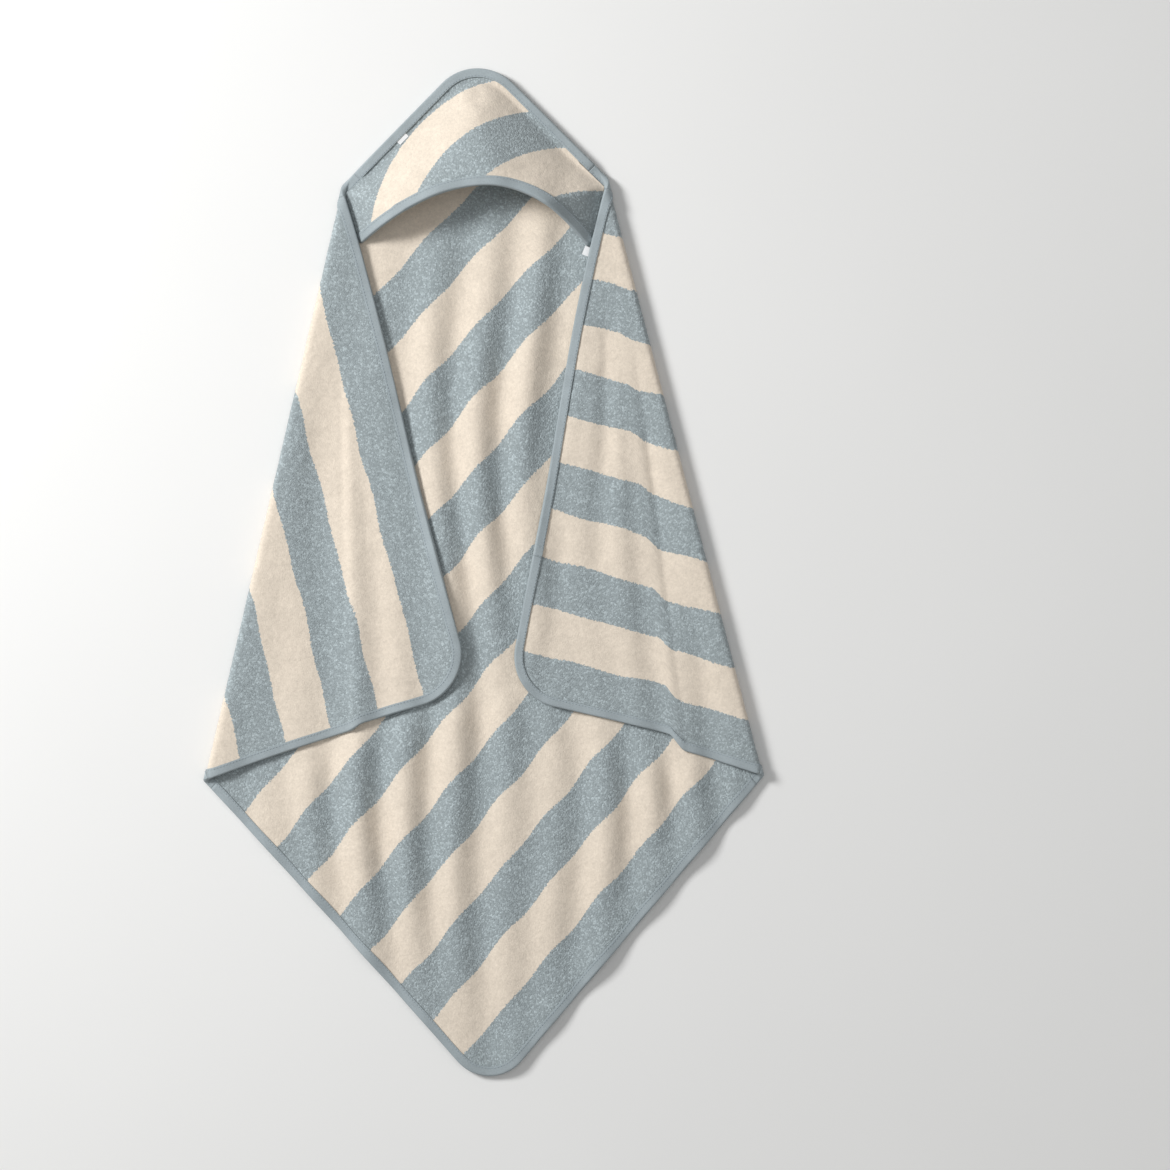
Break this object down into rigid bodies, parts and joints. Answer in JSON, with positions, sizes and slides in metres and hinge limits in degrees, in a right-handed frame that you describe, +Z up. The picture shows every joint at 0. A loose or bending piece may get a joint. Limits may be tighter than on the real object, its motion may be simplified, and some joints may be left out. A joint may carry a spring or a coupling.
{
  "type": "hooded baby towel",
  "caption": "Square striped terry baby towel laid flat with its hood corner at the top, both side corners folded in over the back, and every edge bound with tape.",
  "frame": {"origin": "under the middle of the folded towel's outline, on the surface it lies on", "axes": "+Z up from the surface, +Y from the bottom corner towards the hood tip, +X to the right when looking down at it with the hood tip up"},
  "size_m": [0.5951, 1.0763, 0.0558],
  "materials": {
    "striped_terry": "looped terry in wide grey-blue and cream stripes",
    "binding_tape": "smooth woven tape, grey-blue",
    "sewing_thread": "matt sewing thread, grey-blue",
    "label_cloth": "plain white woven label"
  },
  "bodies": {
    "back": {"back_panel": "striped_terry", "hood_panel": "striped_terry", "hood_front_binding": "binding_tape", "hood_front_stitching": "sewing_thread", "top_binding": "binding_tape", "top_stitching": "sewing_thread", "bottom_binding": "binding_tape", "bottom_stitching": "sewing_thread", "seam_label": "label_cloth", "care_label": "label_cloth"},
    "left_wing": {"left_wing_panel": "striped_terry", "left_wing_binding": "binding_tape", "left_wing_stitching": "sewing_thread"},
    "right_wing": {"right_wing_panel": "striped_terry", "right_wing_binding": "binding_tape", "right_wing_stitching": "sewing_thread", "right_wing_tape_join": "binding_tape"}
  },
  "joints": [
    {"name": "left_wing_fold", "type": "hinge", "parent": "back", "child": "left_wing", "pos_m": [-0.22422, 0.09549, 0.00905], "axis": [-0.2266, -0.974, 0], "range_deg": [0, 180]},
    {"name": "right_wing_fold", "type": "hinge", "parent": "back", "child": "right_wing", "pos_m": [0.21468, 0.10254, 0.00905], "axis": [-0.2528, 0.9675, 0], "range_deg": [0, 180]}
  ]
}
